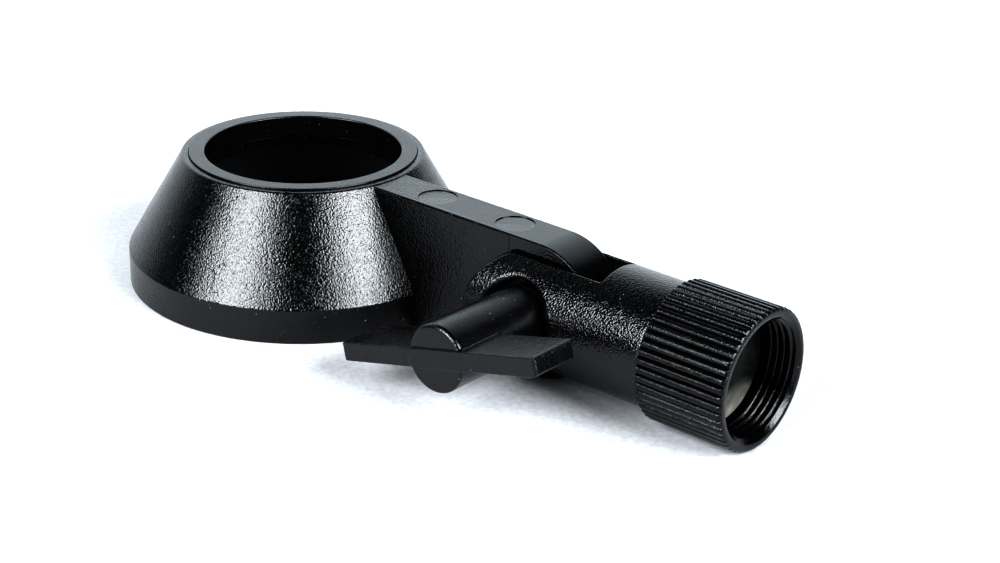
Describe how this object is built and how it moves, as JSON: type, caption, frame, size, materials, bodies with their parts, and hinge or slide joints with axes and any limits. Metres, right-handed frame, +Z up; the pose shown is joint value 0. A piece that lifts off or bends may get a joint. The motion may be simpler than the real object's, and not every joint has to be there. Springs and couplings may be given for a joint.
{
  "type": "swivel stand mount with ring cup",
  "caption": "Black plastic swivel stand mount: open cone cup with a bore ring, flat arm, forked stem with a T-handle clamp screw, and a ribbed threaded stand collar.",
  "frame": {"origin": "centre of the footprint, on the surface that the cup and the collar rest on", "axes": "+X from the cup to the stand collar, +Z up, -Y the side of the T-handle"},
  "size_m": [0.1036, 0.05, 0.019],
  "materials": {
    "moulded_black": "semi-gloss black moulding with a fine even grain",
    "ring_black": "smooth satin black",
    "grained_black": "black moulding with a coarse spark-eroded grain",
    "handle_black": "satin black moulding",
    "collar_black": "black, ribbed outside, glossy thread inside",
    "washer_black": "matt black nylon",
    "zinc_steel": "zinc-plated steel"
  },
  "bodies": {
    "cup": {"cup_and_arm": "moulded_black", "bore_ring": "ring_black"},
    "yoke": {"yoke": "grained_black", "trapped_nut": "zinc_steel", "collar_washer": "zinc_steel", "collar_screw": "zinc_steel"},
    "clamp_washer": {"clamp_washer": "washer_black"},
    "handle": {"wing_handle": "handle_black", "handle_stud": "zinc_steel"},
    "collar": {"stand_collar": "collar_black"}
  },
  "joints": [
    {"name": "tilt", "type": "hinge", "parent": "cup", "child": "yoke", "pos_m": [0.0192, 0, 0.00928], "axis": [0, -1, 0], "range_deg": [-95, 95]},
    {"name": "handle_travel", "type": "slide", "parent": "yoke", "child": "clamp_washer", "axis": [0, -1, 0], "range_m": [0, 0.0012]},
    {"name": "handle_turn", "type": "hinge", "parent": "clamp_washer", "child": "handle", "pos_m": [0.0192, 0, 0.00928], "axis": [0, -1, 0], "range_deg": [0, 541]},
    {"name": "collar_spin", "type": "hinge", "parent": "yoke", "child": "collar", "pos_m": [0.0455, 0, 0.00928], "axis": [1, 0, 0], "continuous": true}
  ],
  "couplings": [
    {"joint": "handle_turn", "follows": "handle_travel", "rad_per_m": 7854}
  ]
}
